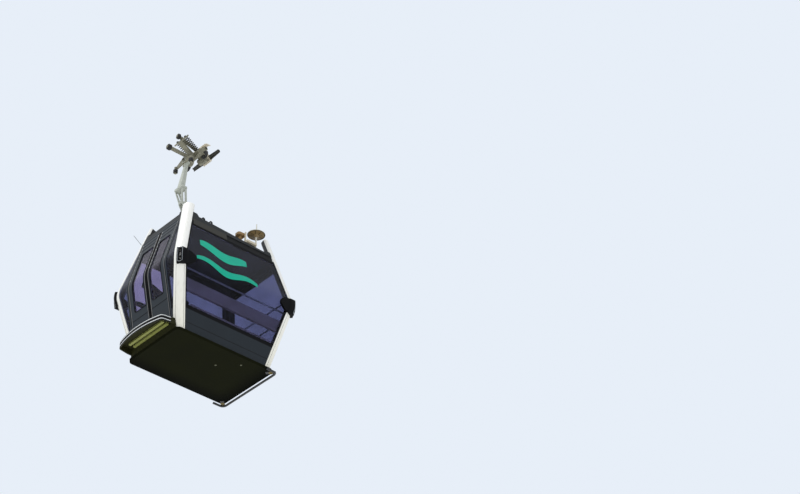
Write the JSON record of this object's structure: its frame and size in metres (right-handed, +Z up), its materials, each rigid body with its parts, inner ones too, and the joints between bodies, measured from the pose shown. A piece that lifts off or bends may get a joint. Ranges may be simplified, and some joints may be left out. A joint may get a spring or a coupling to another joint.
{
  "type": "cable car cabin",
  "caption": "Glazed cable car cabin with splayed corner posts, bent hanger and spring-closed rope grip.",
  "frame": {"origin": "On the rope's axis at the middle of the grip, along the rope.", "axes": "+X along the rope in the way of travel, +Y from the doors to the back window, +Z up."},
  "size_m": [1.6906, 2.2765, 4],
  "materials": {
    "white_coat": "satin",
    "slate_coat": "satin",
    "frame_coat": "satin",
    "seal_rubber": "matt",
    "tinted_glass": "clear",
    "underfloor": "matt",
    "step_olive": "matt",
    "seat_cloth": "woven",
    "slat_olive": "satin",
    "tube_black": "satin",
    "bright_rail": "brushed",
    "zinc_coat": "matt",
    "grip_steel": "matt",
    "cream_cast": "satin",
    "spring_steel": "brushed",
    "roller_rubber": "matt",
    "case_tan": "matt",
    "dish_white": "matt",
    "seat_shell": "matt"
  },
  "bodies": {
    "grip": {"fixed_jaw": "cream_cast", "friction_plate": "cream_cast", "rope_guides": "grip_steel", "grip_frame": "grip_steel", "jaw_pin": "grip_steel", "hanger_pin": "grip_steel", "springs": "spring_steel"},
    "jaw": {"moving_jaw": "grip_steel", "opening_lever": "grip_steel"},
    "hanger": {"aerial": "bright_rail", "backrests": "seat_cloth", "bench_cushions": "seat_cloth", "benches": "seat_shell", "corner_bumpers": "seal_rubber", "corner_posts": "white_coat", "door_frame": "frame_coat", "door_leaf_front": "frame_coat", "door_leaf_rear": "frame_coat", "door_panes": "tinted_glass", "door_step": "step_olive", "elbow_plates": "zinc_coat", "floor_pan": "underfloor", "guide_arms": "grip_steel", "handrails": "bright_rail", "hanger_arm": "zinc_coat", "hanger_head": "zinc_coat", "hanger_leg": "zinc_coat", "lower_panels": "slate_coat", "roof_case": "case_tan", "roof_dish": "dish_white", "roof_mounts": "seal_rubber", "roof_panel": "frame_coat", "roof_rail": "cream_cast", "roof_rim": "frame_coat", "step_slats": "slat_olive", "suspension_frame": "zinc_coat", "tube_bumper": "tube_black", "window_seals": "seal_rubber", "windows": "tinted_glass", "windows_door_side": "tinted_glass"},
    "lever_roller": {"lever_roller": "roller_rubber"},
    "running_wheel": {"running_wheel": "roller_rubber"},
    "inner_wheel_front": {"inner_wheel_front": "roller_rubber"},
    "inner_wheel_rear": {"inner_wheel_rear": "roller_rubber"},
    "guide_roller_front": {"guide_roller_front": "roller_rubber"},
    "guide_roller_rear": {"guide_roller_rear": "roller_rubber"}
  },
  "joints": [
    {"name": "hanger_swing", "type": "hinge", "parent": "grip", "child": "hanger", "pos_m": [0, -0.353, -0.185], "axis": [0, 1, 0], "range_deg": [-38, 38]},
    {"name": "jaw_opening", "type": "hinge", "parent": "grip", "child": "jaw", "pos_m": [0, -0.12, 0.09], "axis": [1, 0, 0], "range_deg": [-12, 0], "stiffness_Nm_per_rad": 900, "springref_deg": 14.32, "deforming": ["springs"]},
    {"name": "lever_roller_spin", "type": "hinge", "parent": "jaw", "child": "lever_roller", "pos_m": [0, -0.532, 0.2], "axis": [0, 1, 0], "continuous": true},
    {"name": "running_wheel_spin", "type": "hinge", "parent": "grip", "child": "running_wheel", "pos_m": [0, -0.69, -0.09], "axis": [0, 1, 0], "continuous": true},
    {"name": "inner_wheel_front_spin", "type": "hinge", "parent": "grip", "child": "inner_wheel_front", "pos_m": [0.215, -0.172, -0.097], "axis": [0, 1, 0], "continuous": true},
    {"name": "inner_wheel_rear_spin", "type": "hinge", "parent": "grip", "child": "inner_wheel_rear", "pos_m": [-0.215, -0.172, -0.097], "axis": [0, 1, 0], "continuous": true},
    {"name": "guide_roller_front_spin", "type": "hinge", "parent": "hanger", "child": "guide_roller_front", "pos_m": [0.195, -0.408, -0.305], "axis": [0, 0, 1], "continuous": true},
    {"name": "guide_roller_rear_spin", "type": "hinge", "parent": "hanger", "child": "guide_roller_rear", "pos_m": [-0.195, -0.408, -0.305], "axis": [0, 0, 1], "continuous": true}
  ]
}
